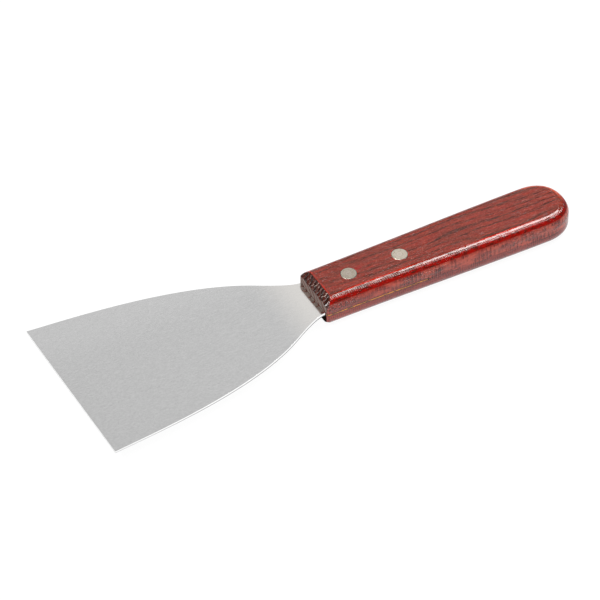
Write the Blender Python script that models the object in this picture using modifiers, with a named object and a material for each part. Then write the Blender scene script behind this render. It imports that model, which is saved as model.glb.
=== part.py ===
"""Flexible putty knife: a taper-ground steel blade whose half tang sits in a saw kerf in a one-piece
hardwood handle, bonded there with resin and clamped by two cutler's rivets, each a pin half pressed
into a tube half.

Metres, +Z up. The knife lies along X, working edge at -X, butt at +X, one flat side of the handle down.
The origin is at the middle of the knife's length and width, level with that flat side.
"""

import math

import bmesh
import bpy

# ---- Blade ------------------------------------------------------------------------------------
EDGE_WIDTH = 0.0762  # the nominal size of the knife: three inches
BLADE_REACH = 0.1075  # from the working edge to the handle's front face
NECK_WIDTH = 0.0200
EDGE_THICKNESS = 0.0008
NECK_THICKNESS = 0.0014  # the tang is as thick
GRIND_RUNOUT = 0.0060  # full-thickness steel between the end of the grind and the handle
FLANK_LEAN = math.radians(5.7)  # how far each flank leans in where it leaves the working edge
FLANK_PULL = 0.0192  # how long the flank keeps that direction before it curves
SHOULDER_LEAN = math.radians(28.6)  # the steepest lean, where the flank turns into the neck
SHOULDER_SETBACK = 0.0192  # from the handle's front face forward to that place
SHOULDER_WIDTH = 0.0379
SHOULDER_PULL = 0.0310
NECK_PULL = 0.0048
TANG_LENGTH = 0.0442  # from the handle's front face back to the tang's end
TANG_CORNER = 0.0030

# ---- Handle -----------------------------------------------------------------------------------
HANDLE_LENGTH = 0.1165
HANDLE_THICKNESS = 0.0132
FRONT_WIDTH = 0.0230
GRIP_WIDTH = 0.0257  # the widest place, where the butt starts to round
BUTT_ROUND = 0.0141  # length of the rounded butt
BUTT_FULLNESS = 0.63  # 0.55 rounds the butt to an ellipse, and more makes it squarer
LONG_EDGE_ROUND = 0.0045
FRONT_CORNER = 0.0018  # radius of the front face's two corners, seen from above
NOSE_LENGTH = 0.0033  # the slopes above and below that thin the handle towards its front face
NOSE_DROP = 0.0022
NOSE_ROUND = 0.0028  # radius at the sides of each slope
KERF_DEPTH = 0.0470
SAW_RADIUS = 0.1000  # the kerf ends in the arc of the saw that cut it

# ---- Rivets -----------------------------------------------------------------------------------
FRONT_RIVET_SETBACK = 0.0162  # from the handle's front face
RIVET_SPACING = 0.0233
HEAD_RADIUS = 0.0033
HEAD_HEIGHT = 0.0016
TUBE_RADIUS = 0.0021
PIN_RADIUS = 0.0013
PIN_LEAD = 0.0004  # the chamfer that starts the pin in its tube
PIN_STOP = 0.0006  # from the end of the pin to the floor of the tube's bore
BORE_FLOOR = 0.0009  # metal left below the bore
TUBE_STOP = 0.0014  # from the mouth of the tube to the underside of the pin's head

# ---- Clearances -------------------------------------------------------------------------------
TANG_FIT = 0.00015  # each face of the tang to the kerf
RESIN_FIT = 0.0003  # the resin to the wood and the steel beside it
HEAD_FIT = 0.0001  # round a rivet's head
HEAD_SEAT = 0.0003  # under a rivet's head
HOLE_FIT = 0.00025  # round a tube, in the wood and in the tang
PRESS_FIT = 0.00015  # round a pin, in its tube

# ---- Detail -----------------------------------------------------------------------------------
CURVE_STEPS = 14  # per stretch of an outline
TURN_STEPS = 40
SAW_STEPS = 180
ROUND_STEPS = 6
FLAT_ANGLE = math.radians(0.05)  # faces and edges that turn less than this are made one
SMOOTH_ANGLE = math.radians(30)  # faces that turn less than this are shaded as one
SQUARE_ANGLE = math.radians(45)  # edges that turn more than this get the roundover
WELD = 1e-6  # points this close are one
MARGIN = 0.0100  # how far a cutter or a blank reaches past the finished shape
OVERCUT = 0.0001  # how far the front cutters' arcs run out past the handle's sides

# ---- Worked out -------------------------------------------------------------------------------
OVERALL_LENGTH = BLADE_REACH + HANDLE_LENGTH
EDGE_X = -OVERALL_LENGTH / 2
FRONT_X = EDGE_X + BLADE_REACH
BUTT_X = FRONT_X + HANDLE_LENGTH
TANG_END_X = FRONT_X + TANG_LENGTH
MID_Z = HANDLE_THICKNESS / 2
KERF_WIDTH = NECK_THICKNESS + 2 * TANG_FIT
FRONT_RIVET_X = FRONT_X + FRONT_RIVET_SETBACK
RIVETS = {"front": FRONT_RIVET_X, "rear": FRONT_RIVET_X + RIVET_SPACING}
HOLE_RADIUS = TUBE_RADIUS + HOLE_FIT
CIRCLE_PULL = 4 / 3 * math.tan(math.pi / 8)  # the pull that rounds a corner of radius 1 to an arc
STRAIGHT = (0, 0)  # the pull of a straight run


# ---- Collections and materials ----------------------------------------------------------------
def new_collection(name, helper=False):
    made = bpy.data.collections.new(name)
    made.hide_render = helper
    bpy.context.scene.collection.children.link(made)
    return made


def new_material(name, colour, metallic, roughness):
    made = bpy.data.materials.new(name)
    made.use_nodes = True
    shader = made.node_tree.nodes["Principled BSDF"]
    shader.inputs["Base Color"].default_value = (*colour, 1)
    shader.inputs["Metallic"].default_value = metallic
    shader.inputs["Roughness"].default_value = roughness
    return made


def add_part(made, material):
    """Puts a finished piece among the parts, shaded smooth except at its sharp edges."""
    made.data.materials.append(material)
    made.data.shade_smooth()
    made.data.set_sharp_from_angle(angle=SMOOTH_ANGLE)
    PARTS.objects.link(made)
    return made


def add_cutter(made):
    made.hide_render = True
    made.display_type = "WIRE"
    CUTTERS.objects.link(made)
    return made


# ---- Shapes -----------------------------------------------------------------------------------
def mirrored(half):
    """Closes the +Y half of an outline, drawn towards +X, with its reflection, drawn back."""
    reflection = [
        ((x, -y), (-pull_out[0], pull_out[1]), (-pull_in[0], pull_in[1]))
        for (x, y), pull_in, pull_out in reversed(half)
        if y > 0
    ]
    return half + reflection


def bezier_plate(name, nodes, thickness):
    """A curve object: a level plate whose outline runs through (point, pull in, pull out) nodes."""
    curve = bpy.data.curves.new(name, "CURVE")
    curve.dimensions = "2D"
    curve.fill_mode = "BOTH"
    curve.extrude = thickness / 2
    curve.resolution_u = CURVE_STEPS
    spline = curve.splines.new("BEZIER")
    spline.use_cyclic_u = True
    spline.bezier_points.add(len(nodes) - 1)
    for knot, ((x, y), pull_in, pull_out) in zip(spline.bezier_points, nodes):
        knot.co = (x, y, 0)
        knot.handle_left = (x - pull_in[0], y - pull_in[1], 0)
        knot.handle_right = (x + pull_out[0], y + pull_out[1], 0)
    made = bpy.data.objects.new(name, curve)
    made.location.z = MID_Z
    return made


def plate(name, nodes, thickness):
    """The same plate as a closed mesh with one face above and one below."""
    drawn = bezier_plate(name + "_outline", nodes, thickness)
    bpy.context.scene.collection.objects.link(drawn)
    bpy.context.view_layer.update()
    graph = bpy.context.evaluated_depsgraph_get()
    mesh = bpy.data.meshes.new_from_object(drawn.evaluated_get(graph))
    mesh.name = name
    made = bpy.data.objects.new(name, mesh)
    made.matrix_world = drawn.matrix_world
    bpy.data.objects.remove(drawn, do_unlink=True)

    edit = bmesh.new()
    edit.from_mesh(mesh)
    bmesh.ops.remove_doubles(edit, verts=edit.verts, dist=WELD)
    bmesh.ops.dissolve_limit(edit, angle_limit=FLAT_ANGLE, verts=edit.verts, edges=edit.edges)
    bmesh.ops.recalc_face_normals(edit, faces=edit.faces)
    edit.to_mesh(mesh)
    edit.free()
    return made


def prism(name, base, sweep):
    """A closed polygon swept along one vector."""
    edit = bmesh.new()
    face = edit.faces.new([edit.verts.new(point) for point in base])
    swept = bmesh.ops.extrude_face_region(edit, geom=[face])["geom"]
    moved = [item for item in swept if isinstance(item, bmesh.types.BMVert)]
    bmesh.ops.translate(edit, verts=moved, vec=sweep)
    bmesh.ops.recalc_face_normals(edit, faces=edit.faces)
    mesh = bpy.data.meshes.new(name)
    edit.to_mesh(mesh)
    edit.free()
    return add_cutter(bpy.data.objects.new(name, mesh))


def side_profile(name, lower):
    """A prism across the knife. lower is its underside in (x, z), and its top mirrors that about MID_Z."""
    half_width = EDGE_WIDTH / 2 + MARGIN
    upper = [(x, 2 * MID_Z - z) for x, z in reversed(lower)]
    return prism(name, [(x, -half_width, z) for x, z in lower + upper], (0, 2 * half_width, 0))


def saw_disc(name, radius, thickness):
    edit = bmesh.new()
    bmesh.ops.create_cone(
        edit, cap_ends=True, segments=SAW_STEPS, radius1=radius, radius2=radius, depth=thickness
    )
    mesh = bpy.data.meshes.new(name)
    edit.to_mesh(mesh)
    edit.free()
    made = bpy.data.objects.new(name, mesh)
    made.location = (FRONT_X + KERF_DEPTH - SAW_RADIUS, 0, MID_Z)
    return add_cutter(made)


def turned(name, x, profile):
    """A shape turned about an upright axis at x. profile is (radius, z), run down the outer side."""
    mesh = bpy.data.meshes.new(name)
    edges = [(i, i + 1) for i in range(len(profile) - 1)]
    mesh.from_pydata([(radius, 0, z) for radius, z in profile], edges, [])
    made = bpy.data.objects.new(name, mesh)
    made.location.x = x
    screw = made.modifiers.new("turn", "SCREW")
    screw.steps = screw.render_steps = TURN_STEPS
    screw.use_merge_vertices = True
    screw.merge_threshold = WELD
    return made


def combine(made, operation, other):
    step = made.modifiers.new(operation.lower() + "_" + other.name, "BOOLEAN")
    step.operation = operation
    step.solver = "EXACT"
    step.object = other


# ---- Blade ------------------------------------------------------------------------------------
def blade_outline(room=0.0):
    """The blade and its tang from above, with room left all round. It runs on past the working edge."""
    neck = NECK_WIDTH / 2 + room
    shoulder = (FRONT_X - SHOULDER_SETBACK, SHOULDER_WIDTH / 2 + room)
    end = TANG_END_X + room
    corner = TANG_CORNER + room
    flank = (FLANK_PULL * math.cos(FLANK_LEAN), -FLANK_PULL * math.sin(FLANK_LEAN))
    dive = (math.cos(SHOULDER_LEAN), -math.sin(SHOULDER_LEAN))
    into_shoulder = (SHOULDER_PULL * dive[0], SHOULDER_PULL * dive[1])
    out_of_shoulder = (NECK_PULL * dive[0], NECK_PULL * dive[1])
    return mirrored(
        [
            ((EDGE_X - MARGIN, EDGE_WIDTH / 2 + room), STRAIGHT, STRAIGHT),
            ((EDGE_X, EDGE_WIDTH / 2 + room), STRAIGHT, flank),
            (shoulder, into_shoulder, out_of_shoulder),
            ((FRONT_X, neck), (NECK_PULL, 0), STRAIGHT),
            ((end - corner, neck), STRAIGHT, (CIRCLE_PULL * corner, 0)),
            ((end, neck - corner), (0, -CIRCLE_PULL * corner), STRAIGHT),
        ]
    )


def make_blade():
    """The outline, cut to the ground side profile: thin at the edge, full at the neck and tang."""
    half_neck = NECK_THICKNESS / 2
    grind = side_profile(
        "blade_grind",
        [
            (EDGE_X, MID_Z - EDGE_THICKNESS / 2),
            (FRONT_X - GRIND_RUNOUT, MID_Z - half_neck),
            (TANG_END_X + MARGIN, MID_Z - half_neck),
        ],
    )
    blade = add_part(plate("blade", blade_outline(), NECK_THICKNESS + MARGIN), STEEL)
    combine(blade, "INTERSECT", grind)
    for end, x in RIVETS.items():
        ends = [(0, MID_Z + MARGIN), (HOLE_RADIUS, MID_Z + MARGIN)]
        ends += [(HOLE_RADIUS, MID_Z - MARGIN), (0, MID_Z - MARGIN)]
        combine(blade, "DIFFERENCE", add_cutter(turned(end + "_tang_hole", x, ends)))


# ---- Handle -----------------------------------------------------------------------------------
def handle_outline():
    """The handle from above. It runs on past the front face, where the front outline trims it."""
    front = FRONT_WIDTH / 2
    grip = GRIP_WIDTH / 2
    round_x = BUTT_X - BUTT_ROUND
    swell = ((round_x - FRONT_X) / 3, 0)
    return mirrored(
        [
            ((FRONT_X - MARGIN, front), STRAIGHT, STRAIGHT),
            ((FRONT_X, front), STRAIGHT, swell),
            ((round_x, grip), swell, (BUTT_FULLNESS * BUTT_ROUND, 0)),
            ((BUTT_X, 0), (0, -BUTT_FULLNESS * grip), (0, -BUTT_FULLNESS * grip)),
        ]
    )


def front_outline():
    """What trims the front from above: a face square to the blade, with rounded corners."""
    front = FRONT_WIDTH / 2
    turn = CIRCLE_PULL * FRONT_CORNER
    return mirrored(
        [
            ((FRONT_X, front - FRONT_CORNER), STRAIGHT, (0, turn)),
            ((FRONT_X + FRONT_CORNER, front + OVERCUT), (turn, 0), STRAIGHT),
            ((BUTT_X + MARGIN, front + MARGIN), STRAIGHT, STRAIGHT),
        ]
    )


def rivet_room(name, x):
    """The hole for one rivet: a clear hole with a pocket for a head at each end."""
    pocket = HEAD_RADIUS + HEAD_FIT
    floor = HEAD_HEIGHT + HEAD_SEAT
    top = HANDLE_THICKNESS
    profile = [(0, top + MARGIN), (pocket, top + MARGIN), (pocket, top - floor), (HOLE_RADIUS, top - floor)]
    profile += [(HOLE_RADIUS, floor), (pocket, floor), (pocket, -MARGIN), (0, -MARGIN)]
    return add_cutter(turned(name, x, profile))


def nose_cutter(name, side):
    """What slopes the top (1) or the underside (-1) down to the front face, and rounds the slope's sides."""
    turn = FRONT_WIDTH / 2 + OVERCUT - NOSE_ROUND
    low = MID_Z - NOSE_DROP - NOSE_ROUND
    angles = [i * math.pi / 2 / ROUND_STEPS for i in range(ROUND_STEPS + 1)]
    half = [(turn + NOSE_ROUND * math.sin(t), low + NOSE_ROUND * math.cos(t)) for t in angles]
    half += [(turn + MARGIN, low), (turn + MARGIN, MID_Z + MARGIN)]
    section = half + [(-y, z) for y, z in reversed(half)]
    start = (FRONT_X - 2 * NOSE_LENGTH, MID_Z - 2 * side * NOSE_DROP)
    base = [(start[0], y, start[1] + side * z) for y, z in section]
    return prism(name, base, (4 * NOSE_LENGTH, 0, 4 * side * NOSE_DROP))


def trim_front(made):
    """Cuts the front face with its corners, and the slopes that thin the handle towards it."""
    combine(made, "INTERSECT", FRONT)
    for nose in NOSES:
        combine(made, "DIFFERENCE", nose)


def make_handle():
    handle = plate("handle", handle_outline(), HANDLE_THICKNESS)
    edges = handle.modifiers.new("long_edges", "BEVEL")
    edges.limit_method = "ANGLE"
    edges.angle_limit = SQUARE_ANGLE
    edges.width = LONG_EDGE_ROUND
    edges.segments = ROUND_STEPS
    edges.use_clamp_overlap = False
    add_part(handle, WOOD)
    trim_front(handle)
    combine(handle, "DIFFERENCE", saw_disc("kerf_saw", SAW_RADIUS, KERF_WIDTH))
    for end, x in RIVETS.items():
        combine(handle, "DIFFERENCE", rivet_room(end + "_rivet_room", x))


# ---- Resin ------------------------------------------------------------------------------------
def make_resin():
    """What fills the kerf beside and behind the tang, flush with the handle's sides and front."""
    thickness = KERF_WIDTH - 2 * RESIN_FIT
    resin = add_part(plate("kerf_resin", handle_outline(), thickness), RESIN)
    trim_front(resin)
    combine(resin, "INTERSECT", saw_disc("resin_reach", SAW_RADIUS - RESIN_FIT, KERF_WIDTH + MARGIN))
    tang_room = plate("tang_room", blade_outline(RESIN_FIT), KERF_WIDTH + MARGIN)
    combine(resin, "DIFFERENCE", add_cutter(tang_room))


# ---- Rivets -----------------------------------------------------------------------------------
def make_rivet(end, x):
    """The pin half comes from above and is pressed into the tube half, from below. Both heads are flush."""
    top = HANDLE_THICKNESS
    under_head = top - HEAD_HEIGHT
    pin_end = BORE_FLOOR + PIN_STOP
    pin = [(0, top), (HEAD_RADIUS, top), (HEAD_RADIUS, under_head), (PIN_RADIUS, under_head)]
    pin += [(PIN_RADIUS, pin_end + PIN_LEAD), (PIN_RADIUS - PIN_LEAD, pin_end), (0, pin_end)]
    add_part(turned(end + "_rivet_pin", x, pin), ALUMINIUM)

    mouth = under_head - TUBE_STOP
    bore = PIN_RADIUS + PRESS_FIT
    tube = [(0, BORE_FLOOR), (bore, BORE_FLOOR), (bore, mouth), (TUBE_RADIUS, mouth)]
    tube += [(TUBE_RADIUS, HEAD_HEIGHT), (HEAD_RADIUS, HEAD_HEIGHT), (HEAD_RADIUS, 0), (0, 0)]
    add_part(turned(end + "_rivet_tube", x, tube), ALUMINIUM)


# ---- Assembly ---------------------------------------------------------------------------------
for old in list(bpy.data.objects):
    bpy.data.objects.remove(old, do_unlink=True)

PARTS = new_collection("putty_knife")
CUTTERS = new_collection("cutters", helper=True)
STEEL = new_material("satin_steel", (0.52, 0.52, 0.51), 1.0, 0.30)
WOOD = new_material("lacquered_hardwood", (0.26, 0.045, 0.035), 0.0, 0.25)
RESIN = new_material("amber_resin", (0.42, 0.13, 0.02), 0.0, 0.30)
ALUMINIUM = new_material("rivet_aluminium", (0.58, 0.53, 0.46), 1.0, 0.38)

NOSES = [nose_cutter("nose_above", 1), nose_cutter("nose_below", -1)]
FRONT = add_cutter(plate("handle_front", front_outline(), HANDLE_THICKNESS + MARGIN))
make_blade()
make_handle()
make_resin()
for rivet_end, rivet_x in RIVETS.items():
    make_rivet(rivet_end, rivet_x)
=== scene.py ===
"""Looks of the flexible putty knife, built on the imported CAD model.

Metres, in the frame's own axes: the knife lies along X with its working edge at -X and one flat side of
the handle on the floor. Materials are procedural, in the object's millimetres, so that the grain and the
brushing keep their real scale. Brightness is given so that 1 is paper white.
"""

import math
from collections import namedtuple
from types import SimpleNamespace

import bmesh
import bpy
from mathutils import Matrix, Vector
from mathutils.geometry import interpolate_bezier


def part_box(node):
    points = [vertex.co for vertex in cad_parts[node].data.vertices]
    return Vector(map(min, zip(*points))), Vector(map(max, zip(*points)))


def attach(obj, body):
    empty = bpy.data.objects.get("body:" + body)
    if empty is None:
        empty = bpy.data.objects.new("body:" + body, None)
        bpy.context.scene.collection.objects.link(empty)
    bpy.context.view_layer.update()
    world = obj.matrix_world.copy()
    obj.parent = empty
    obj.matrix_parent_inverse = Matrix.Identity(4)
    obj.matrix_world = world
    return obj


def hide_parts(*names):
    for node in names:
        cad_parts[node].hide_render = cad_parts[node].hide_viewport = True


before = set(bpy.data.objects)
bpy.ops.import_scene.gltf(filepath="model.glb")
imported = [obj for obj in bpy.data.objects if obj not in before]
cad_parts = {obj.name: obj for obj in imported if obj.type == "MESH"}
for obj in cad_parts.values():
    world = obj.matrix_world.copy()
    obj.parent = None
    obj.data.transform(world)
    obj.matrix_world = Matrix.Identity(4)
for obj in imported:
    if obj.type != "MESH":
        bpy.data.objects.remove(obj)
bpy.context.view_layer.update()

# ---- Sizes read from the frame ------------------------------------------------------------------
BLADE_LOW, BLADE_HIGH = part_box("blade")
HANDLE_LOW, HANDLE_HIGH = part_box("handle")
RESIN_LOW, RESIN_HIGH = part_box("kerf_resin")
EDGE_X = BLADE_LOW.x
EDGE_WIDTH = BLADE_HIGH.y - BLADE_LOW.y
NECK_THICKNESS = BLADE_HIGH.z - BLADE_LOW.z
TANG_END_X = BLADE_HIGH.x
FRONT_X = HANDLE_LOW.x
BUTT_X = HANDLE_HIGH.x
GRIP_WIDTH = HANDLE_HIGH.y - HANDLE_LOW.y
HANDLE_THICKNESS = HANDLE_HIGH.z - HANDLE_LOW.z
MID_Z = HANDLE_THICKNESS / 2
RESIN_THICKNESS = RESIN_HIGH.z - RESIN_LOW.z
RIVETS = ("front", "rear")


def rivet_place(end):
    """A rivet's place along the knife and the radius of its heads."""
    low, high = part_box(end + "_rivet_pin")
    return (low.x + high.x) / 2, (high.x - low.x) / 2


# ---- Shapes that a box doesn't give, as in the CAD ----------------------------------------------
# A pull is the length of a Bezier handle in an outline.
NECK_WIDTH = 0.0200
EDGE_THICKNESS = 0.0008
GRIND_RUNOUT = 0.0060  # from the end of the taper grind to the handle
FLANK_LEAN = math.radians(5.7)
FLANK_PULL = 0.0192
SHOULDER_LEAN = math.radians(28.6)
SHOULDER_SETBACK = 0.0192  # from the shoulder to the handle
SHOULDER_WIDTH = 0.0379
SHOULDER_PULL = 0.0310
NECK_PULL = 0.0048
TANG_CORNER = 0.0030
FRONT_WIDTH = 0.0230
BUTT_ROUND = 0.0141  # the length of the rounded end
BUTT_FULLNESS = 0.63  # its pulls, as a part of its length and half width
LONG_EDGE_ROUND = 0.0045
FRONT_CORNER = 0.0018
NOSE_LENGTH = 0.0033
NOSE_DROP = 0.0022
NOSE_ROUND = 0.0028
KERF_GAP = 0.0003  # from the resin to the wood
GLUE_LINE = 0.00003  # what the resin leaves of that gap once it is finished flush
SAW_RADIUS = 0.1000  # of the blade that cut the kerf
TANG_GAP = 0.0003  # from the resin to the steel
HEAD_FIT = 0.0001  # round a rivet's head
HEAD_HEIGHT = 0.0016
HEAD_DEPTH = 0.0019  # of the pocket for a rivet's head
TUBE_RADIUS = 0.0021
PIN_RADIUS = 0.0013
BORE_FLOOR = 0.0009  # what is left under the tube's bore
PRESS_FIT = 0.00015  # round the pin, in the tube
HOLE_FIT = 0.00025  # round the tube, in the wood and the steel

BUTT_ROUND_X = BUTT_X - BUTT_ROUND

# ---- Finish -------------------------------------------------------------------------------------
EASED_EDGE = 0.0004  # the sanding that breaks the handle's front edges
BLADE_EASE = 0.00022  # the rounding of the blade's long edges
HEAD_CHAMFER = 0.00012
RING_PITCH = 0.00055  # between the facing marks on a rivet's head
RING_DEPTH = 0.0000010
RING_GROOVE = (0.35, 0.50, 0.65)  # where a mark starts, is deepest and ends, as parts of the pitch

# ---- Detail -------------------------------------------------------------------------------------
CURVE_STEPS = 40
ROUND_STEPS = 14
CORNER_STEPS = 8
EASE_STEPS = 3
TURN_STEPS = 72
SAW_STEPS = 360
SMOOTH_ANGLE = math.radians(28)  # edges that turn by more look sharp
SQUARE_ANGLE = math.radians(45)
EASED_ANGLE = math.radians(18)
FLAT_ANGLE = math.radians(0.05)
WELD = 1e-6
SLIVER = 0.0001  # vertices closer than this are one
MARGIN = 0.0100  # how far cutters go past what they cut
OVERCUT = 0.0001  # how far the front's corners run out past its sides
CUTTER_REACH = 2  # of a nose cutter, each way from the front, in lengths of its slope
FLAT_FACE_WEIGHT = 80
CIRCLE_PULL = 4 / 3 * math.tan(math.pi / 8)  # of a quarter circle's Bezier handles, to its radius
STRAIGHT = (0, 0)
MM = 1000.0


# ---- Mesh tools ---------------------------------------------------------------------------------
def link(made):
    bpy.context.scene.collection.objects.link(made)
    return made


def mirrored(half):
    """Closes the +Y half of an outline, drawn towards +X, with its reflection, drawn back."""
    reflection = [
        ((x, -y), (-pull_out[0], pull_out[1]), (-pull_in[0], pull_in[1]))
        for (x, y), pull_in, pull_out in reversed(half)
        if y > 0
    ]
    return half + reflection


def new_object(name, edit):
    """An object that holds an edited mesh, with its faces turned outwards."""
    bmesh.ops.recalc_face_normals(edit, faces=edit.faces)
    mesh = bpy.data.meshes.new(name)
    edit.to_mesh(mesh)
    edit.free()
    return link(bpy.data.objects.new(name, mesh))


def freeze(made):
    """Works the object's modifiers into its mesh."""
    bpy.context.view_layer.update()
    graph = bpy.context.evaluated_depsgraph_get()
    mesh = bpy.data.meshes.new_from_object(made.evaluated_get(graph))
    made.modifiers.clear()
    made.data = mesh


def prism(name, base, sweep):
    """A closed polygon swept along one vector."""
    edit = bmesh.new()
    near = [edit.verts.new(point) for point in base]
    far = [edit.verts.new(Vector(point) + Vector(sweep)) for point in base]
    edit.faces.new(near)
    edit.faces.new(reversed(far))
    for i in range(len(base)):
        edit.faces.new((near[i], near[i - 1], far[i - 1], far[i]))
    return new_object(name, edit)


def plate(name, nodes, thickness, steps=CURVE_STEPS):
    """A level plate at mid height whose outline runs through (point, pull in, pull out) nodes."""
    base = []
    for (start, _, pull_out), (end, pull_in, _) in zip(nodes, nodes[1:] + nodes[:1]):
        first = Vector((*start, MID_Z - thickness / 2))
        last = Vector((*end, MID_Z - thickness / 2))
        if pull_out == pull_in == STRAIGHT:
            base.append(first)
            continue
        leaves = first + Vector((*pull_out, 0))
        arrives = last - Vector((*pull_in, 0))
        base += interpolate_bezier(first, leaves, arrives, last, steps + 1)[:-1]
    return prism(name, base, (0, 0, thickness))


def side_profile(name, lower):
    """A prism across the knife. lower is its underside in (x, z), which its top mirrors about MID_Z."""
    half_width = EDGE_WIDTH / 2 + MARGIN
    upper = [(x, 2 * MID_Z - z) for x, z in reversed(lower)]
    return prism(name, [(x, -half_width, z) for x, z in lower + upper], (0, 2 * half_width, 0))


def saw_disc(name, radius, thickness):
    """A level disc on the axis of the saw that cut the kerf."""
    edit = bmesh.new()
    bmesh.ops.create_cone(
        edit, cap_ends=True, segments=SAW_STEPS, radius1=radius, radius2=radius, depth=thickness
    )
    centre_x = RESIN_HIGH.x + KERF_GAP - SAW_RADIUS
    bmesh.ops.translate(edit, verts=edit.verts, vec=(centre_x, 0, MID_Z))
    return new_object(name, edit)


def turned(name, x, profile):
    """A shape turned about an upright axis at x. profile is (radius, z), run down the outer side."""
    mesh = bpy.data.meshes.new(name)
    edges = [(i, i + 1) for i in range(len(profile) - 1)]
    mesh.from_pydata([(radius, 0, z) for radius, z in profile], edges, [])
    made = link(bpy.data.objects.new(name, mesh))
    screw = made.modifiers.new("turn", "SCREW")
    screw.steps = screw.render_steps = TURN_STEPS
    screw.use_merge_vertices = True
    screw.merge_threshold = WELD
    freeze(made)
    made.data.transform(Matrix.Translation((x, 0, 0)))
    return made


def combine(made, operation, other):
    """Works another object into this one's mesh, and drops the other."""
    step = made.modifiers.new(operation, "BOOLEAN")
    step.operation = operation
    step.solver = "EXACT"
    step.object = other
    freeze(made)
    bpy.data.objects.remove(other, do_unlink=True)
    return made


def round_edges(made, width, angle, segments, clamp=True):
    """Rounds the edges that turn by more than an angle."""
    bevel = made.modifiers.new("rounded_edges", "BEVEL")
    bevel.limit_method = "ANGLE"
    bevel.angle_limit = angle
    bevel.width = width
    bevel.segments = segments
    bevel.use_clamp_overlap = clamp
    freeze(made)


def edit_mesh(made, change):
    """Works one change of the mesh editor into an object's mesh."""
    edit = bmesh.new()
    edit.from_mesh(made.data)
    change(edit)
    edit.to_mesh(made.data)
    edit.free()


def finish_piece(made, node, material):
    """Shades a piece and lets it stand for its CAD node."""
    made.data.materials.clear()
    made.data.materials.append(material)
    made.data.shade_smooth()
    made.data.set_sharp_from_angle(angle=SMOOTH_ANGLE)
    weighted = made.modifiers.new("flat_faces_stay_flat", "WEIGHTED_NORMAL")
    weighted.keep_sharp = True
    weighted.weight = FLAT_FACE_WEIGHT
    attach(made, "root")
    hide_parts(node)
    return made


# ---- Blade --------------------------------------------------------------------------------------
def blade_outline(room=0.0):
    """The blade and its tang from above, with some room round them."""
    neck = NECK_WIDTH / 2 + room
    shoulder = (FRONT_X - SHOULDER_SETBACK, SHOULDER_WIDTH / 2 + room)
    end = TANG_END_X + room
    corner = TANG_CORNER + room
    flank = (FLANK_PULL * math.cos(FLANK_LEAN), -FLANK_PULL * math.sin(FLANK_LEAN))
    dive = (math.cos(SHOULDER_LEAN), -math.sin(SHOULDER_LEAN))
    into_shoulder = (SHOULDER_PULL * dive[0], SHOULDER_PULL * dive[1])
    out_of_shoulder = (NECK_PULL * dive[0], NECK_PULL * dive[1])
    return mirrored(
        [
            ((EDGE_X - MARGIN, EDGE_WIDTH / 2 + room), STRAIGHT, STRAIGHT),
            ((EDGE_X, EDGE_WIDTH / 2 + room), STRAIGHT, flank),
            (shoulder, into_shoulder, out_of_shoulder),
            ((FRONT_X, neck), (NECK_PULL, 0), STRAIGHT),
            ((end - corner, neck), STRAIGHT, (CIRCLE_PULL * corner, 0)),
            ((end, neck - corner), (0, -CIRCLE_PULL * corner), STRAIGHT),
        ]
    )


def make_blade():
    """One sheet, taper-ground on both faces towards the working edge, with two rivet holes."""
    half_neck = NECK_THICKNESS / 2
    grind = side_profile(
        "blade_grind",
        [
            (EDGE_X, MID_Z - EDGE_THICKNESS / 2),
            (FRONT_X - GRIND_RUNOUT, MID_Z - half_neck),
            (TANG_END_X + MARGIN, MID_Z - half_neck),
        ],
    )
    blade = combine(plate("blade_steel", blade_outline(), NECK_THICKNESS + MARGIN), "INTERSECT", grind)
    round_edges(blade, BLADE_EASE, SQUARE_ANGLE, EASE_STEPS)
    hole = TUBE_RADIUS + HOLE_FIT
    over, under = MID_Z + MARGIN, MID_Z - MARGIN
    for end in RIVETS:
        x, _ = rivet_place(end)
        drill = turned(end + "_tang_hole", x, [(0, over), (hole, over), (hole, under), (0, under)])
        combine(blade, "DIFFERENCE", drill)
    return blade


# ---- Handle -------------------------------------------------------------------------------------
def handle_outline():
    """The handle from above, run on ahead of its front so that the front can be trimmed."""
    front = FRONT_WIDTH / 2
    grip = GRIP_WIDTH / 2
    swell = ((BUTT_ROUND_X - FRONT_X) / 3, 0)  # each end pulls for a third of the side
    return mirrored(
        [
            ((FRONT_X - MARGIN, front), STRAIGHT, STRAIGHT),
            ((FRONT_X, front), STRAIGHT, swell),
            ((BUTT_ROUND_X, grip), swell, (BUTT_FULLNESS * BUTT_ROUND, 0)),
            ((BUTT_X, 0), (0, -BUTT_FULLNESS * grip), (0, -BUTT_FULLNESS * grip)),
        ]
    )


def front_outline():
    """What trims the front from above: a face square to the blade, with rounded corners."""
    front = FRONT_WIDTH / 2
    turn = CIRCLE_PULL * FRONT_CORNER
    return mirrored(
        [
            ((FRONT_X, front - FRONT_CORNER), STRAIGHT, (0, turn)),
            ((FRONT_X + FRONT_CORNER, front + OVERCUT), (turn, 0), STRAIGHT),
            ((BUTT_X + MARGIN, front + MARGIN), STRAIGHT, STRAIGHT),
        ]
    )


def nose_cutter(side):
    """What slopes the top (1) or underside (-1) down to the front face and rounds the slope's sides."""
    turn = FRONT_WIDTH / 2 + OVERCUT - NOSE_ROUND
    low = MID_Z - NOSE_DROP - NOSE_ROUND
    angles = [i * math.pi / 2 / CORNER_STEPS for i in range(CORNER_STEPS + 1)]
    half = [(turn + NOSE_ROUND * math.sin(t), low + NOSE_ROUND * math.cos(t)) for t in angles]
    half += [(turn + MARGIN, low), (turn + MARGIN, MID_Z + MARGIN)]
    section = half + [(-y, z) for y, z in reversed(half)]
    back = CUTTER_REACH * Vector((-NOSE_LENGTH, 0, -side * NOSE_DROP))
    base = [Vector((FRONT_X, y, MID_Z + side * z)) + back for y, z in section]
    return prism("handle_nose", base, -2 * back)


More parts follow.
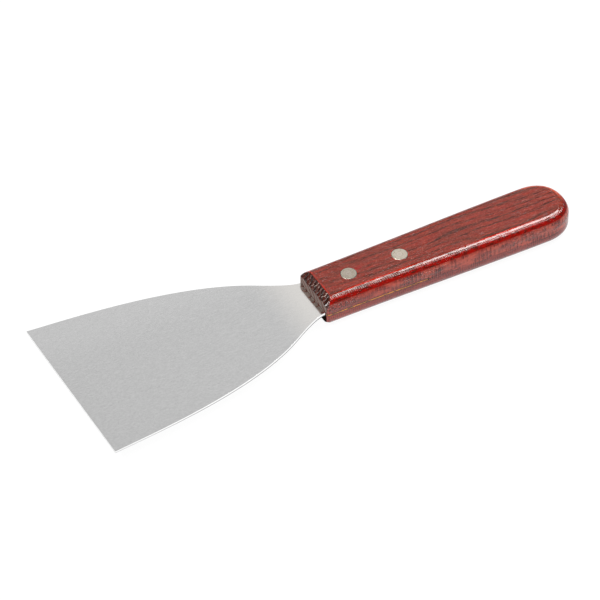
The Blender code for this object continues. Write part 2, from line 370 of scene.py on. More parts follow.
def trim_front(made):
    """Cuts the front face with its corners, and the slopes that thin the handle towards it."""
    front = plate("handle_front", front_outline(), HANDLE_THICKNESS + MARGIN, CORNER_STEPS)
    combine(made, "INTERSECT", front)
    combine(made, "DIFFERENCE", nose_cutter(1))
    combine(made, "DIFFERENCE", nose_cutter(-1))


def ease_front(made):
    """Rounds the edges that the front's cuts leave. The slivers between the cuts are closed up first,
    and the faces that the rounding bends are split afterwards."""
    edit_mesh(made, lambda edit: bmesh.ops.remove_doubles(edit, verts=edit.verts, dist=SLIVER))
    round_edges(made, EASED_EDGE, EASED_ANGLE, EASE_STEPS)
    edit_mesh(
        made,
        lambda edit: bmesh.ops.connect_verts_nonplanar(edit, angle_limit=FLAT_ANGLE, faces=edit.faces),
    )


def make_handle():
    """One piece of wood with a saw kerf, and a stepped hole for each rivet."""
    handle = plate("handle_wood", handle_outline(), HANDLE_THICKNESS)
    round_edges(handle, LONG_EDGE_ROUND, SQUARE_ANGLE, ROUND_STEPS, clamp=False)
    trim_front(handle)
    ease_front(handle)
    combine(handle, "DIFFERENCE", saw_disc("kerf_saw", SAW_RADIUS, RESIN_THICKNESS + 2 * KERF_GAP))
    hole = TUBE_RADIUS + HOLE_FIT
    top = HANDLE_THICKNESS
    for end in RIVETS:
        x, radius = rivet_place(end)
        pocket = radius + HEAD_FIT
        room = [(0, top + MARGIN), (pocket, top + MARGIN), (pocket, top - HEAD_DEPTH)]
        room += [(hole, top - HEAD_DEPTH), (hole, HEAD_DEPTH), (pocket, HEAD_DEPTH)]
        room += [(pocket, -MARGIN), (0, -MARGIN)]
        combine(handle, "DIFFERENCE", turned(end + "_rivet_room", x, room))
    return handle


# ---- Resin --------------------------------------------------------------------------------------
def make_resin():
    """Fills the kerf, beside and behind the tang, as far as the saw reached."""
    resin = plate("resin_line", handle_outline(), RESIN_THICKNESS + 2 * (KERF_GAP - GLUE_LINE))
    trim_front(resin)
    reach = SAW_RADIUS - KERF_GAP
    combine(resin, "INTERSECT", saw_disc("resin_reach", reach, RESIN_THICKNESS + MARGIN))
    tang_room = plate("tang_room", blade_outline(TANG_GAP), RESIN_THICKNESS + MARGIN)
    return combine(resin, "DIFFERENCE", tang_room)


# ---- Rivets -------------------------------------------------------------------------------------
def head_face(radius):
    """(radius, drop) along a rivet's head, from its middle out: turned rings and a chamfer."""
    starts, deepest, ends = RING_GROOVE
    mark = ((0.0, 0.0), (starts, 0.0), (deepest, RING_DEPTH), (ends, 0.0))
    rings = int((radius - HEAD_CHAMFER) / RING_PITCH)
    face = [((ring + part) * RING_PITCH, drop) for ring in range(rings) for part, drop in mark]
    return face + [(radius - HEAD_CHAMFER, 0.0), (radius, HEAD_CHAMFER)]


def make_rivet(end):
    """The pin half from above and the tube half from below, as in the CAD, with faced heads."""
    x, radius = rivet_place(end)
    pin_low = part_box(end + "_rivet_pin")[0].z
    tube_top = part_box(end + "_rivet_tube")[1].z
    top = HANDLE_THICKNESS
    seat = top - HEAD_HEIGHT
    bore = PIN_RADIUS + PRESS_FIT
    face = head_face(radius)
    pin = [(r, top - drop) for r, drop in face]
    pin += [(radius, seat), (PIN_RADIUS, seat), (PIN_RADIUS, pin_low), (0, pin_low)]
    tube = [(0, BORE_FLOOR), (bore, BORE_FLOOR), (bore, tube_top), (TUBE_RADIUS, tube_top)]
    tube += [(TUBE_RADIUS, HEAD_HEIGHT), (radius, HEAD_HEIGHT)]
    tube += [(r, drop) for r, drop in reversed(face)]
    return turned(end + "_pin_metal", x, pin), turned(end + "_tube_metal", x, tube)


# ---- Material tools -----------------------------------------------------------------------------
# From here to the stage, places and sizes are in millimetres.

# stretch is in cells to the millimetre along x, y and z. Patches start and are full at levels of the noise.
Noise = namedtuple("Noise", "stretch detail rough seed starts full", defaults=(2.0, 0.5, 0.0, 0.0, 1.0))
SEED_STEPS = (1.0, 1.7, 2.3)  # how far a seed moves the noise on each axis
MIDDLE_NOISE = (0.3, 0.7)  # where most of a noise's values lie
MEAN_NOISE = 0.5

# cover is how much of the colour below it a stain hides
Stain = namedtuple("Stain", "red green blue cover", defaults=(1.0,))

# sockets of the Mix node when it mixes colours
MIX_FACTOR, MIX_FIRST, MIX_SECOND, MIX_RESULT = 0, 6, 7, 2


class Nodes:
    """Short calls that add nodes to a tree. Each material keeps its own in n. A value is a number, a
    colour or another node's output."""

    def __init__(self, tree):
        self.tree = tree

    def add(self, kind, inputs=(), **settings):
        node = self.tree.nodes.new("ShaderNode" + kind)
        for key, value in settings.items():
            setattr(node, key, value)
        for key, value in dict(inputs).items():
            self.put(node.inputs[key], value)
        return node

    def put(self, socket, value):
        if isinstance(value, bpy.types.NodeSocket):
            self.tree.links.new(value, socket)
        else:
            socket.default_value = value

    def math(self, operation, *values, clamp=False):
        return self.add("Math", enumerate(values), operation=operation, use_clamp=clamp).outputs[0]

    def product(self, first, *others):
        for other in others:
            first = self.math("MULTIPLY", first, other)
        return first

    def vector(self, operation, *values):
        return self.add("VectorMath", enumerate(values), operation=operation).outputs[0]

    def split(self, value):
        return self.add("SeparateXYZ", {0: value}).outputs

    def length(self, x, y):
        spot = self.add("CombineXYZ", {0: x, 1: y}).outputs[0]
        return self.add("VectorMath", {0: spot}, operation="LENGTH").outputs["Value"]

    def wave(self, value, pitch, shift=0.0):
        """A sine from -1 to 1 that repeats at each pitch of value, moved along by shift in radians."""
        return self.math("SINE", self.math("MULTIPLY_ADD", value, 2 * math.pi / pitch, shift))

    def line(self, value, low, high, to_low=0.0, to_high=1.0, **settings):
        """Runs straight from to_low to to_high as value goes from low to high."""
        inputs = {"Value": value, "From Min": low, "From Max": high, "To Min": to_low, "To Max": to_high}
        return self.add("MapRange", inputs, **settings).outputs[0]

    def step(self, value, low, high, to_low=0.0, to_high=1.0):
        """Runs smoothly from to_low to to_high as value goes from low to high."""
        return self.line(value, low, high, to_low, to_high, interpolation_type="SMOOTHSTEP")

    def band(self, value, rises, falls):
        """1 between two edges. Each edge is (where it is 0, where it is 1)."""
        return self.product(self.step(value, *rises), self.step(value, *falls))

    def blend(self, factor, first, second, mode="MIX"):
        node = self.add("Mix", data_type="RGBA", blend_type=mode)
        self.put(node.inputs[MIX_FACTOR], factor)
        self.put(node.inputs[MIX_FIRST], first)
        self.put(node.inputs[MIX_SECOND], second)
        return node.outputs[MIX_RESULT]

    def stain(self, below, stain, mask):
        """Lays a stain over a colour where mask is 1."""
        pigment = colour(stain.red, stain.green, stain.blue)
        return self.blend(self.math("MULTIPLY", mask, stain.cover), below, pigment)

    def noise(self, place, noise):
        """A value from 0 to 1 that varies over place, in millimetres."""
        shift = tuple(noise.seed * step for step in SEED_STEPS)
        spot = self.vector("ADD", self.vector("MULTIPLY", place, noise.stretch), shift)
        inputs = {"Vector": spot, "Scale": 1.0, "Detail": noise.detail, "Roughness": noise.rough}
        return self.add("TexNoise", inputs).outputs[0]

    def patches(self, place, noise, to_low=0.0, to_high=1.0):
        """Smooth patches of to_high on a ground of to_low."""
        return self.step(self.noise(place, noise), noise.starts, noise.full, to_low, to_high)


def new_material(name):
    """A material, its nodes, its shader and the place of a point in the object's millimetres."""
    material = bpy.data.materials.new(name)
    material.use_nodes = True
    nodes = Nodes(material.node_tree)
    shader = material.node_tree.nodes["Principled BSDF"]
    place = nodes.vector("SCALE", nodes.add("TexCoord").outputs["Object"])
    place.node.inputs["Scale"].default_value = MM
    return material, nodes, shader, place


def colour(red, green, blue):
    return (red, green, blue, 1.0)


def grey(level):
    return colour(level, level, level)


WHITE = grey(1.0)


def facing(n):
    """Which way the surface faces, along x, y and z."""
    return n.split(n.add("TexCoord").outputs["Normal"])


def rivet_distance(n, x, y):
    """Millimetres from the axis of the nearer rivet, seen from above."""
    away = [n.math("ABSOLUTE", n.math("SUBTRACT", x, rivet_place(end)[0] * MM)) for end in RIVETS]
    return n.length(n.math("MINIMUM", *away), y)


def past(origin, *steps):
    """Places in millimetres, given as steps from an origin in metres."""
    return [origin * MM + step for step in steps]


# ---- Wood: how its surface lies -----------------------------------------------------------------
# A pair of numbers here and below is (where a feature starts, where it is full): in millimetres, in the
# height of a noise or a wave, or in one of the measures of how the surface lies.
SIDE = (0.78, 0.88)
OFF_SIDE = SIDE[::-1]


def wood_surface(n, place):
    """What is known of a point of the wood: where it is, and how its surface lies. forward is 1 on the
    front face, level is 1 on the flats, and steep is 1 on the sides and the front face. Each feature
    below adds to it what later ones need."""
    at = SimpleNamespace(place=place)
    at.x, at.y, at.z = n.split(place)
    facing_x, at.facing_y, at.facing_z = facing(n)
    at.forward = n.math("MULTIPLY", facing_x, -1.0)
    at.level = n.math("MULTIPLY", at.facing_z, at.facing_z)
    at.steep = n.math("SQRT", n.math("SUBTRACT", 1.0, at.level, clamp=True))
    at.side = n.step(at.steep, *SIDE)
    return at


# ---- Wood: growth and pores ---------------------------------------------------------------------
LAYER_LEAN = (0.022, 0.92, -0.94)  # how fast the growth layers pass along x, y and z
LAYER_DRIFT = Noise((0.022, 0.10, 0.10))
LAYER_WANDER = 9.0
LAYER_PITCH = 3.0
LATE_GROWTH = (-0.2, 1.0)
DENSEST_GROWTH = (0.62, 0.97)
LATE_DARKNESS = 0.30
STREAKS = Noise((0.05, 2.4, 2.4), detail=4.0, rough=0.7, starts=0.42, full=0.64)
STREAK_DARKNESS = 0.65
FLECKS = Noise((0.12, 0.8, 0.8), rough=0.6, seed=23.0, starts=0.35, full=0.68)
RED_FIBRE = colour(0.150, 0.011, 0.005)
BRIGHT_FIBRE = colour(0.218, 0.016, 0.007)
BROWN_FIBRE = colour(0.092, 0.022, 0.011)
ROW_BREAKS = Noise((0.10, 0.9, 0.9), rough=0.6, seed=53.0, starts=0.42, full=0.56)
ROW_STAIN = Stain(0.042, 0.011, 0.006, cover=0.75)


def stained_fibres(n, at):
    """Growth layers slope across the handle and wander along it, darker where they grew late."""
    drift = n.math("SUBTRACT", n.noise(at.place, LAYER_DRIFT), MEAN_NOISE)
    wander = n.math("MULTIPLY", drift, LAYER_WANDER)
    layer = n.math("MULTIPLY_ADD", at.y, LAYER_LEAN[1], n.math("MULTIPLY", at.z, LAYER_LEAN[2]))
    at.layer = n.math("ADD", n.math("MULTIPLY_ADD", at.x, LAYER_LEAN[0], layer), wander)
    growth = n.wave(at.layer, LAYER_PITCH)
    at.late = n.step(growth, *LATE_GROWTH)
    at.streak = n.noise(at.place, STREAKS)
    streaks = n.step(at.streak, STREAKS.starts, STREAKS.full, 0.0, STREAK_DARKNESS)
    dark = n.math("MULTIPLY_ADD", at.late, LATE_DARKNESS, streaks)
    red = n.blend(n.patches(at.place, FLECKS), RED_FIBRE, BRIGHT_FIBRE)
    body = n.blend(n.math("MINIMUM", dark, 1.0), red, BROWN_FIBRE)
    rows = n.product(n.step(growth, *DENSEST_GROWTH), n.patches(at.place, ROW_BREAKS))
    return n.stain(body, ROW_STAIN, rows)


VESSELS = Noise((0.18, 2.5, 2.5), detail=1.0, seed=7.0, starts=0.55, full=0.61)
EARLY_VESSELS = 0.35  # how much of them shows in the early growth
VESSEL_STAIN = Stain(0.030, 0.010, 0.007, cover=0.75)
GRIT = Noise((1.1, 3.6, 3.6), rough=0.6, seed=83.0)
# painted glints: bright specks in the grit
GRIT_GLINTS = (0.55, 0.68)
DARK_GRIT = (0.45, 0.32)
GRIT_GLINT_STAIN = Stain(0.36, 0.075, 0.045, cover=0.45)
DARK_GRIT_STAIN = Stain(0.045, 0.013, 0.009, cover=0.60)


def add_pores(n, at, body):
    """Vessels are dark dashes, most of them in the late growth, and open pores dark grit among painted
    glints.
    """
    in_growth = n.line(at.late, 0.0, 1.0, EARLY_VESSELS, 1.0)
    at.vessel = n.product(n.patches(at.place, VESSELS), in_growth)
    body = n.stain(body, VESSEL_STAIN, at.vessel)
    grit = n.noise(at.place, GRIT)
    # painted glints
    body = n.stain(body, GRIT_GLINT_STAIN, n.step(grit, *GRIT_GLINTS))
    return n.stain(body, DARK_GRIT_STAIN, n.step(grit, *DARK_GRIT))


# ---- Wood: long edges ---------------------------------------------------------------------------
LONG_EDGE = (0.42, 0.54)
DAPPLE = Noise((0.38, 0.9, 0.9), detail=4.0, rough=0.75, seed=37.0, starts=0.44, full=0.60)
# partly painted light: the rounded edges' red is painted brighter and cleaner than the top's
LIT_DEEP_RED = colour(0.26, 0.002, 0.001)
DARK_RED = colour(0.055, 0.005, 0.003)
EDGE_COVER = 0.85


def stain_and_light_long_edges(n, at, body):
    """The rounded edges hold deep red stain, partly painted light as a brighter, cleaner red, dappled with
    darker lacquer.
    """
    at.dapple = n.noise(at.place, DAPPLE)
    deep_and_lit = n.blend(n.step(at.dapple, DAPPLE.starts, DAPPLE.full), LIT_DEEP_RED, DARK_RED)
    at.edge = n.band(at.steep, LONG_EDGE, OFF_SIDE)
    return n.blend(n.math("MULTIPLY", at.edge, EDGE_COVER), body, deep_and_lit)


ARRIS = (0.06, 0.09)  # where a long edge's rounding leaves the flat
OFF_ARRIS = (0.22, 0.18)
NEAR_SIDE = (-0.02, -0.08)
AHEAD_OF_BUTT = past(BUTT_ROUND_X, 0.0, -8.0)
CREST_X = past(FRONT_X + NOSE_LENGTH, 1.25)[0]  # the furthest back that the crest's line wanders
CREST_DRIFT = Noise((0.0, 1.1, 0.3), rough=0.6, seed=41.0)
CREST_SWAY = 2.2
CREST_WIDTH = (0.55, 0.25)
CREST_TOP = (0.78, 0.84)
# partly painted light: the orange on the near arris and the crest is rubbed wear and a painted lit edge
RUBBING_AND_LIGHT = Noise((0.05, 0.1, 0.1), detail=1.0, seed=43.0, starts=0.42, full=0.58)
LEAST_RUBBED_AND_LIT = 0.30
MOST_RUBBED_AND_LIT = 0.85
RUBBED_AND_LIT_STAIN = Stain(0.42, 0.012, 0.001)
# painted rim light along the far edge of the butt
RIM = (0.22, 0.34)
OFF_RIM = (0.80, 0.60)
AT_BUTT = past(BUTT_ROUND_X, -2.0, 3.0)
FAR_SIDE = (-0.20, 0.10)
RIM_LIGHT_STAIN = Stain(0.44, 0.050, 0.012, cover=0.80)


def rub_and_light_edges(n, at, body):
    """Sanding has bared orange wood along the near arris and the nose's crest, partly painted light; the
    butt's rim is painted rim light.
    """
    arris = n.product(n.band(at.steep, ARRIS, OFF_ARRIS), n.step(at.facing_y, *NEAR_SIDE))
    arris = n.product(arris, n.step(at.x, *AHEAD_OF_BUTT))
    from_crest = n.math("SUBTRACT", at.x, CREST_X)
    from_crest = n.math("MULTIPLY_ADD", n.noise(at.place, CREST_DRIFT), CREST_SWAY, from_crest)
    crest = n.step(n.math("ABSOLUTE", from_crest), *CREST_WIDTH)
    crest = n.product(crest, n.step(at.facing_z, *CREST_TOP))
    # orange on the near arris and the crest: rubbed wear and painted light
    rubbed_and_lit = n.patches(at.place, RUBBING_AND_LIGHT, LEAST_RUBBED_AND_LIT, MOST_RUBBED_AND_LIT)
    body = n.stain(body, RUBBED_AND_LIT_STAIN, n.product(n.math("MAXIMUM", arris, crest), rubbed_and_lit))
    # painted rim light on the butt's far edge
    rim = n.product(n.band(at.steep, RIM, OFF_RIM), n.step(at.x, *AT_BUTT))
    rim = n.product(rim, n.step(at.facing_y, *FAR_SIDE))
    return n.stain(body, RIM_LIGHT_STAIN, rim)


# ---- Wood: sides --------------------------------------------------------------------------------
# painted light: the sides are painted paler and pinker, for the light and the floor's reflection they catch
SIDE_PAINTED_HAZE = Stain(0.34, 0.066, 0.052, cover=0.65)
CUTTER_BEAT = Noise((0.25, 0.15, 0.22), rough=0.6, seed=11.0)
TICK_PITCH = 0.90
TICK_BEAT = 12.0  # in radians, how far the ticks are pushed along
TICK = (-0.2, 0.8)
TICK_WEAR = Noise((0.22, 0.15, 0.36), detail=1.0, seed=29.0, starts=0.34, full=0.58)
WELL_MARKED = past(FRONT_X, 4.5, 34.5)
MARKED_IN_FRONT = 0.5
TICK_STAIN = Stain(0.07, 0.012, 0.012, cover=0.85)


def mark_sides(n, at, body):
    """The sides are painted paler and pinker as painted light. Cutter marks cross them as short upright
    ticks, fainter near the front.
    """
    body = n.stain(body, SIDE_PAINTED_HAZE, at.side)
    at.beat = n.noise(at.place, CUTTER_BEAT)
    at.mark = n.wave(at.x, TICK_PITCH, n.math("MULTIPLY", at.beat, TICK_BEAT))
    at.worn = n.product(n.patches(at.place, TICK_WEAR), n.step(at.x, *WELL_MARKED, MARKED_IN_FRONT, 1.0))
    return n.stain(body, TICK_STAIN, n.product(n.step(at.mark, *TICK), at.side, at.worn))


CRUMBS = Noise((0.9, 1.2, 1.8), detail=3.0, rough=0.7, seed=89.0, starts=0.47, full=0.58)
CRUST_BOTTOM = past(MID_Z, 0.6, 1.8)
CRUST_TOP = past(MID_Z, 4.6, 3.8)
CRUST_IN_FRONT = past(FRONT_X, 20.5, 10.5)
CRUST_MIDDLE = past(FRONT_X, 30.5, 36.5)
OFF_CRUST_MIDDLE = past(FRONT_X, 60.5, 50.5)
CRUST_AT_BUTT = past(FRONT_X, 72.5, 88.5)
BUTT_CRUST = 0.8
CRUST_STEEP = (0.50, 0.68)
CRUST_STAIN = Stain(0.045, 0.010, 0.007, cover=0.75)


def add_crust(n, at, body):
    """Lacquer has crusted below the top's long edges: in front, round the kerf's end and at the butt."""
    middle = n.band(at.x, CRUST_MIDDLE, OFF_CRUST_MIDDLE)
    along = n.math("MAXIMUM", n.step(at.x, *CRUST_IN_FRONT), middle)
    along = n.math("MAXIMUM", along, n.step(at.x, *CRUST_AT_BUTT, 0.0, BUTT_CRUST))
    height = n.band(at.z, CRUST_BOTTOM, CRUST_TOP)
    at.crumb = n.product(n.patches(at.place, CRUMBS), height, along, n.step(at.steep, *CRUST_STEEP))
    return n.stain(body, CRUST_STAIN, at.crumb)


SEAM_DRIFT = Noise((0.08, 0.1, 0.0), seed=61.0)
SEAM_SWAY = 2.4
SEAM_Z = past(MID_Z, -2.0)[0]  # the lowest that the seam wanders
SEAMED = past(FRONT_X, 8.5, 26.5)
LIT_PATCHES = Noise((0.16, 0.15, 0.5), detail=3.0, rough=0.6, seed=67.0, starts=0.40, full=0.60)
OVER_SEAM = (0.1, 0.7)
UNDER_SEAM = (0.1, -0.6)
SEAM_WIDTH = (0.34, 0.10)
# painted light: patches of the side above the seam are painted brighter
UPPER_PAINTED_LIGHT = Stain(0.50, 0.095, 0.060, cover=0.50)
LOWER_STAIN = Stain(0.15, 0.036, 0.036, cover=0.40)
SEAM_STAIN = Stain(0.05, 0.010, 0.010, cover=0.80)
NOTCH_PITCH = 1.8
NOTCH_BEAT = 4.0  # in radians
NOTCH = (0.62, 0.98)
NOTCH_BOTTOM = (0.0, 0.5)
NOTCH_STAIN = Stain(0.05, 0.010, 0.010, cover=0.70)


def add_seam(n, at, body):
    """Two passes of the cutter meet in a dark seam, with bolder notches above it; above it the side is
    painted lit in patches, below it darker.
    """
    seam_z = n.math("MULTIPLY_ADD", n.noise(at.place, SEAM_DRIFT), SEAM_SWAY, SEAM_Z)
    above = n.math("SUBTRACT", at.z, seam_z)
    seamed = n.product(at.side, n.step(at.x, *SEAMED))
    lit = n.patches(at.place, LIT_PATCHES)
    # painted light above the seam
    body = n.stain(body, UPPER_PAINTED_LIGHT, n.product(seamed, n.step(above, *OVER_SEAM), lit))
    body = n.stain(body, LOWER_STAIN, n.product(seamed, n.step(above, *UNDER_SEAM)))
    seam = n.product(n.step(n.math("ABSOLUTE", above), *SEAM_WIDTH), seamed, lit)
    body = n.stain(body, SEAM_STAIN, seam)
    notch = n.step(n.wave(at.x, NOTCH_PITCH, n.math("MULTIPLY", at.beat, NOTCH_BEAT)), *NOTCH)
    notch = n.product(notch, n.step(above, *NOTCH_BOTTOM), seamed, at.worn)
    return n.stain(body, NOTCH_STAIN, notch)


SCAR_Z = past(MID_Z, -0.10)[0]
SCAR_WIDTH = (0.40, 0.15)
SCAR_START = past(RESIN_HIGH.x, -0.9, -0.3)
SCAR_END = past(RESIN_HIGH.x, 5.0, 1.0)
SCAR_STAIN = Stain(0.03, 0.008, 0.006, cover=0.85)


def add_kerf_scar(n, at, body):
    """A dark crack runs on for a few millimetres behind the resin line."""
    scar = n.step(n.math("ABSOLUTE", n.math("SUBTRACT", at.z, SCAR_Z)), *SCAR_WIDTH)
    return n.stain(body, SCAR_STAIN, n.product(scar, n.band(at.x, SCAR_START, SCAR_END), at.side))


# ---- Wood: lacquer round the rivets -------------------------------------------------------------
FLAT_TOP = (0.90, 0.99)

RUN_X = past(rivet_place("front")[0], 5.0)[0]
RUN_Y = 1.0
RUN_LENGTH = 1.6
RUN_WIDTH = 0.60
RUN_RIM = (1.15, 0.75)
RUN_STAIN = Stain(0.21, 0.002, 0.001, cover=0.90)

POOL_RADIUS = (3.95, 3.60)
POOL_BREAKS = Noise((0.35, 0.35, 0.35), rough=0.6, seed=97.0, starts=0.45, full=0.62)
POOL_STAIN = Stain(0.30, 0.008, 0.002, cover=0.70)


def add_lacquer_runs(n, at, body):
    """A run of lacquer dried behind the front rivet, and broken pools of it round both."""
    top = n.step(at.facing_z, *FLAT_TOP)
    run_x = n.math("DIVIDE", n.math("SUBTRACT", at.x, RUN_X), RUN_LENGTH)
    run_y = n.math("DIVIDE", n.math("SUBTRACT", at.y, RUN_Y), RUN_WIDTH)
    body = n.stain(body, RUN_STAIN, n.product(n.step(n.length(run_x, run_y), *RUN_RIM), top))
    pool = n.step(rivet_distance(n, at.x, at.y), *POOL_RADIUS)
    return n.stain(body, POOL_STAIN, n.product(pool, n.patches(at.place, POOL_BREAKS), top))


# ---- Wood: end grain ----------------------------------------------------------------------------
NOSE_FORWARD = (0.30, 0.50)
NOSE_LEVEL = (0.04, 0.16)
FACE_FORWARD = (0.84, 0.94)
ON_FACE = (0.75, 0.90)
END_EARLY = colour(0.058, 0.012, 0.007)
END_LATE = colour(0.018, 0.005, 0.003)

RIDGE_PITCH = 1.7
RIDGE_DRIFT = Noise((0.8, 0.5, 0.8), rough=0.6, seed=31.0)
RIDGE_WANDER = 9.0  # in radians
RIDGE_TOP = (0.72, 0.97)
# painted glints on the nose's ridges
GLINT_SPOTS = Noise((0.7, 0.7, 0.7), rough=0.6, seed=71.0, starts=0.48, full=0.60)
GLINTS_NEAR_HALF = (5.0, 1.0)
GLINTS_IN_FAR_HALF = 0.15
GLINTS_FROM_CORNER = (-9.0, -8.2)
RIDGE_GLINT_STAIN = Stain(0.56, 0.42, 0.36, cover=0.60)

FACE_RING_PITCH = 3.4
FACE_RING = (0.45, 0.95)
# partly painted light: the face's grey is painted for the light from the bright blade in front of it
LIT_FACE_EARLY = colour(0.232, 0.182, 0.163)
FACE_LATE = colour(0.135, 0.045, 0.036)
# painted shade on the front face below the blade
UNDER_BLADE = past(MID_Z, 0.4, -0.8)
UNDER_BLADE_SHADE = Stain(0.008, 0.006, 0.005)


def add_end_grain(n, at, body):
    """End grain drinks the stain: dark on the nose's slopes, with painted glints, and grey on the face,
    partly painted light, with painted shade below the blade.
    """
    slope = n.product(n.step(at.forward, *NOSE_FORWARD), n.step(at.level, *NOSE_LEVEL))
    at.end_grain = n.math("MAXIMUM", slope, n.step(at.forward, *FACE_FORWARD))
    weave = n.math("MULTIPLY", n.noise(at.place, RIDGE_DRIFT), RIDGE_WANDER)
    at.ridge = n.wave(at.y, RIDGE_PITCH, weave)
    across = n.step(at.y, *GLINTS_NEAR_HALF, GLINTS_IN_FAR_HALF, 1.0)
    across = n.product(across, n.step(at.y, *GLINTS_FROM_CORNER))
    # painted glints on the ridges
    glints = n.product(n.step(at.ridge, *RIDGE_TOP), across, n.patches(at.place, GLINT_SPOTS))
    nose = n.stain(n.blend(at.late, END_EARLY, END_LATE), RIDGE_GLINT_STAIN, glints)
    ring = n.step(n.wave(at.layer, FACE_RING_PITCH), *FACE_RING)
    # the face's grey, partly painted light
    face = n.blend(ring, LIT_FACE_EARLY, FACE_LATE)
    # painted shade below the blade
    face = n.stain(face, UNDER_BLADE_SHADE, n.step(at.z, *UNDER_BLADE))
    return n.blend(at.end_grain, body, n.blend(n.step(at.forward, *ON_FACE), nose, face))


# ---- Wood: relief -------------------------------------------------------------------------------
RELIEF = 0.00004  # metres to one unit of the heights below
RIPPLE = Noise((0.80, 0.30, 0.55), rough=0.6, seed=17.0)
RIPPLE_HEIGHT = 1.0
STREAK_HEIGHT = 0.5
VESSEL_DEPTH = 1.4
TICK_HEIGHT = 0.70
TICK_LEAST = 0.5
TICKED_STEEP = (0.30, 0.42)
CRUST_HEIGHT = 4.0
CRUMB_SHARE = 0.8
RIDGE_HEIGHT = 5.0
RIDGE_RISE = (-0.2, 1.0)
RIDGE_ENDS = (8.2, 7.4)
RIDGED_FORWARD = (0.95, 0.75)


def wood_relief(n, at):
    """The lacquer ripples over fibres and cutter marks, crusts on the edges and ridges on the nose."""
    height = n.math("MULTIPLY", n.noise(at.place, RIPPLE), RIPPLE_HEIGHT)
    height = n.math("MULTIPLY_ADD", at.streak, STREAK_HEIGHT, height)
    height = n.math("SUBTRACT", height, n.math("MULTIPLY", at.vessel, VESSEL_DEPTH))
    ticks = n.product(at.mark, n.math("MAXIMUM", at.worn, TICK_LEAST), n.step(at.steep, *TICKED_STEEP))
    height = n.math("MULTIPLY_ADD", ticks, TICK_HEIGHT, height)
    crust = n.product(at.dapple, at.edge, at.worn)
    crust = n.math("MAXIMUM", crust, n.math("MULTIPLY", at.crumb, CRUMB_SHARE))
    height = n.math("MULTIPLY_ADD", crust, CRUST_HEIGHT, height)
    ridges = n.product(n.step(at.ridge, *RIDGE_RISE), n.step(n.math("ABSOLUTE", at.y), *RIDGE_ENDS))
    ridges = n.product(ridges, at.end_grain, n.step(at.forward, *RIDGED_FORWARD))
    height = n.math("MULTIPLY_ADD", ridges, RIDGE_HEIGHT, height)
    return n.add("Bump", {"Strength": 1.0, "Distance": RELIEF, "Height": height}).outputs[0]


# ---- Wood: gloss --------------------------------------------------------------------------------
WOOD_GLOW = 0.10  # metallic
WOOD_ROUGHNESS = (0.36, 0.48)
SOAKED = (0.50, 0.60)
SOAKED_FORWARD = (0.18, 0.06)
SOAKED_LOSS = 0.75
COATED_FORWARD = (0.92, 0.80)
COAT_ROUGHNESS = 0.04
COAT_IOR = 1.42


def wood_material():
    material, n, shader, place = new_material("lacquered_hardwood")
    at = wood_surface(n, place)
    body = stained_fibres(n, at)
    body = add_pores(n, at, body)
    body = stain_and_light_long_edges(n, at, body)
    body = rub_and_light_edges(n, at, body)
    body = mark_sides(n, at, body)
    body = add_crust(n, at, body)
    body = add_seam(n, at, body)
    body = add_kerf_scar(n, at, body)
    body = add_lacquer_runs(n, at, body)
    body = add_end_grain(n, at, body)
    n.put(shader.inputs["Base Color"], body)
    relief = wood_relief(n, at)
    n.put(shader.inputs["Normal"], relief)
    n.put(shader.inputs["Coat Normal"], relief)

    # stained fibres glow red around the lacquer's sharper highlight
    n.put(shader.inputs["Metallic"], n.line(at.end_grain, 0.0, 1.0, WOOD_GLOW, 0.0))
    n.put(shader.inputs["Roughness"], n.line(at.streak, *MIDDLE_NOISE, *WOOD_ROUGHNESS))
    shader.inputs["Specular IOR Level"].default_value = 0.0

    # the lacquer has soaked in below the long edges, and the front face has next to none
    soaked = n.product(n.band(at.steep, SOAKED, OFF_SIDE), n.step(at.forward, *SOAKED_FORWARD))
    gloss = n.math("MULTIPLY_ADD", soaked, -SOAKED_LOSS, 1.0)
    n.put(shader.inputs["Coat Weight"], n.product(n.step(at.forward, *COATED_FORWARD), gloss))
    shader.inputs["Coat Roughness"].default_value = COAT_ROUGHNESS
    shader.inputs["Coat IOR"].default_value = COAT_IOR
    return material


# ---- Steel --------------------------------------------------------------------------------------
BRUSHING = Noise((0.30, 11.0, 1.0), rough=0.7)
BRUSHING_SHARE = 0.6
MOTTLE = Noise((1.6, 3.4, 1.0), detail=3.0, rough=0.6, seed=5.0)
MOTTLE_SHARE = 0.4
STEEL_TONES = (0.35, 0.65)
DULL_STEEL = grey(0.525)
BRIGHT_STEEL = grey(0.690)

FAR_HALF = (8.0, 30.0)
FAR_HALF_STAIN = Stain(0.90, 0.90, 0.90, cover=0.12)
# painted reflection: a warm tint of the handle's wood, painted on the blade near the handle
WOOD_REFLECTION_REACH = past(FRONT_X, -21.5, -1.5)
WOOD_REFLECTION_STAIN = Stain(0.86, 0.83, 0.79, cover=0.70)

# painted highlight: the blade's sides are painted nearly white
STEEL_SIDE = (0.80, 0.55)
STEEL_SIDE_HIGHLIGHT = Stain(0.97, 0.97, 0.97)
# painted shade along the lower part of the blade's sides
SIDE_SHADE_BELOW = past(MID_Z, -0.15, -0.32)
SIDE_SHADE_STAIN = Stain(0.06, 0.06, 0.06, cover=0.9)

STEEL_ROUGHNESS = (0.13, 0.18)
BRUSHING_RELIEF = 0.000001  # metres


